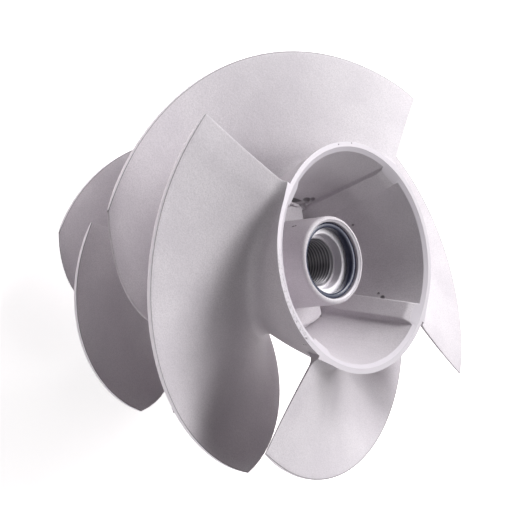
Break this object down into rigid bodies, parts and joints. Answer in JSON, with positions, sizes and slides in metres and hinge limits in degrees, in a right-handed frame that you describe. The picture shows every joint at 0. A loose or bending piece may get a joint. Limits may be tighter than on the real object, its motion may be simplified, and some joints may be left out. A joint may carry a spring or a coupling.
{
  "type": "pump impeller",
  "caption": "Axial pump impeller: a hollow conical hub with wide main blades, a smaller inducer row behind them, and a threaded boss inside with a seal ring.",
  "frame": {"origin": "on the shaft axis, in the plane of the nose face, on which the part stands", "axes": "+Z along the shaft axis, from the nose to the open rim; +X through the trailing tip of the first main blade"},
  "size_m": [0.16, 0.16, 0.142],
  "materials": {
    "cast_steel": "bead-blasted stainless casting, matte and finely grained, with a machined rim and bore",
    "seal_rubber": "smooth moulded rubber with a soft gloss"
  },
  "bodies": {
    "root": {"impeller": "cast_steel", "o_ring": "seal_rubber"}
  },
  "joints": []
}
